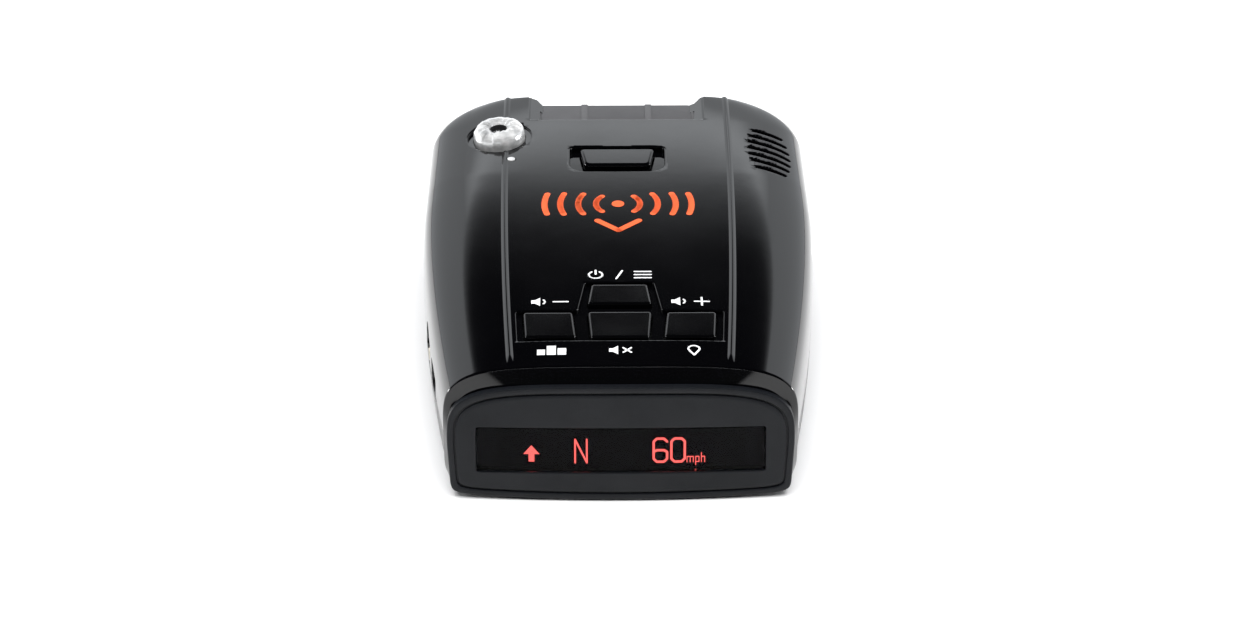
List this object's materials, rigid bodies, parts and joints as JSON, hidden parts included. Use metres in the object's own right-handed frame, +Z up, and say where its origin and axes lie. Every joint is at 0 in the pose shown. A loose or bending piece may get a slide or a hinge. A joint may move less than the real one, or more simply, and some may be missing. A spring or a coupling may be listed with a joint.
{
  "type": "radar detector",
  "caption": "Compact windshield radar and laser detector with display, sprung keys, bracket slot with release button, speaker and side sockets.",
  "frame": {"origin": "centre of the footprint on the flat underside", "axes": "+X to the viewer's right facing the display, +Y from the display end to the antenna end, +Z up"},
  "size_m": [0.075, 0.11, 0.0324],
  "materials": {
    "gloss_black": "piano black moulded gloss",
    "base_black": "fine spark texture",
    "charcoal": "satin charcoal",
    "smoked_window": "smoked gloss lens",
    "socket_grey": "matte dark grey",
    "key_black": "gloss key cap",
    "clear_lens": "clear moulded lens",
    "laser_red": "infrared window, very dark red",
    "pcb_green": "solder mask",
    "chip_black": "moulded epoxy",
    "cream_plastic": "connector plastic",
    "tin_plate": "tin plated steel",
    "zinc_cast": "die-cast zinc",
    "ceramic_tan": "fired dielectric",
    "gold_contact": "plated contacts",
    "ribbon_amber": "polyimide film",
    "foam_black": "closed cell foam",
    "screw_black": "black zinc plate",
    "steel": "bright spring steel",
    "nickel": "nickel plated brass",
    "magnet_grey": "nickel coated ferrite",
    "cone_black": "treated paper",
    "label_silver": "blank polyester label"
  },
  "bodies": {
    "root": {"top_housing": "gloss_black", "bottom_housing": "base_black", "bezel_frame": "gloss_black", "face_panel": "charcoal", "display_window": "smoked_window", "window_gasket": "foam_black", "display_panel": "chip_black", "display_board": "pcb_green", "display_ribbon": "ribbon_amber", "main_board": "pcb_green", "ribbon_sockets": "cream_plastic", "processor_chips": "chip_black", "crystal_cans": "tin_plate", "shield_can": "tin_plate", "power_inductor": "chip_black", "capacitors": "tin_plate", "gps_antenna": "ceramic_tan", "gps_electrode": "steel", "microwave_horn": "zinc_cast", "horn_board": "pcb_green", "horn_cover": "tin_plate", "horn_screws": "steel", "antenna_window": "base_black", "front_laser_lens": "laser_red", "front_laser_sensor": "chip_black", "rear_laser_lens": "clear_lens", "lens_clip": "chip_black", "rear_laser_sensor": "pcb_green", "light_pipe": "clear_lens", "light_sensor": "chip_black", "key_switches": "chip_black", "key_board": "pcb_green", "key_ribbon": "ribbon_amber", "release_spring": "steel", "latch_bridge": "chip_black", "bracket_socket": "socket_grey", "speaker_frame": "tin_plate", "speaker_magnet": "magnet_grey", "speaker_gasket": "foam_black", "speaker_felt": "foam_black", "power_jack": "chip_black", "power_jack_contacts": "gold_contact", "audio_jack": "chip_black", "audio_jack_sleeve": "nickel", "data_jack": "tin_plate", "data_jack_tongue": "chip_black", "housing_screws": "screw_black", "inner_screws": "steel", "rating_label": "label_silver"},
    "power_key": {"power_key": "key_black", "power_plunger": "cream_plastic"},
    "mute_key": {"mute_key": "key_black", "mute_plunger": "cream_plastic"},
    "volume_down_key": {"volume_down_key": "key_black", "volume_down_plunger": "cream_plastic"},
    "volume_up_key": {"volume_up_key": "key_black", "volume_up_plunger": "cream_plastic"},
    "release": {"release_button": "gloss_black"},
    "speaker_cone": {"speaker_cone": "cone_black"}
  },
  "joints": [
    {"name": "power_key_press", "type": "slide", "parent": "root", "child": "power_key", "axis": [0, 0.0767, -0.9971], "range_m": [0, 0.0005], "stiffness_N_per_m": 2500, "springref_m": -0.0002},
    {"name": "mute_key_press", "type": "slide", "parent": "root", "child": "mute_key", "axis": [0, 0.0767, -0.9971], "range_m": [0, 0.0005], "stiffness_N_per_m": 2500, "springref_m": -0.0002},
    {"name": "volume_down_key_press", "type": "slide", "parent": "root", "child": "volume_down_key", "axis": [0, 0.0767, -0.9971], "range_m": [0, 0.0005], "stiffness_N_per_m": 2500, "springref_m": -0.0002},
    {"name": "volume_up_key_press", "type": "slide", "parent": "root", "child": "volume_up_key", "axis": [0, 0.0767, -0.9971], "range_m": [0, 0.0005], "stiffness_N_per_m": 2500, "springref_m": -0.0002},
    {"name": "release_press", "type": "slide", "parent": "root", "child": "release", "axis": [0, 0.0767, -0.9971], "range_m": [0, 0.0018], "stiffness_N_per_m": 900, "springref_m": -0.0008, "deforming": ["release_spring"]},
    {"name": "speaker_cone_travel", "type": "slide", "parent": "root", "child": "speaker_cone", "axis": [0.342, -0.0721, 0.9369], "range_m": [-0.0003, 0.0003], "stiffness_N_per_m": 1500}
  ]
}
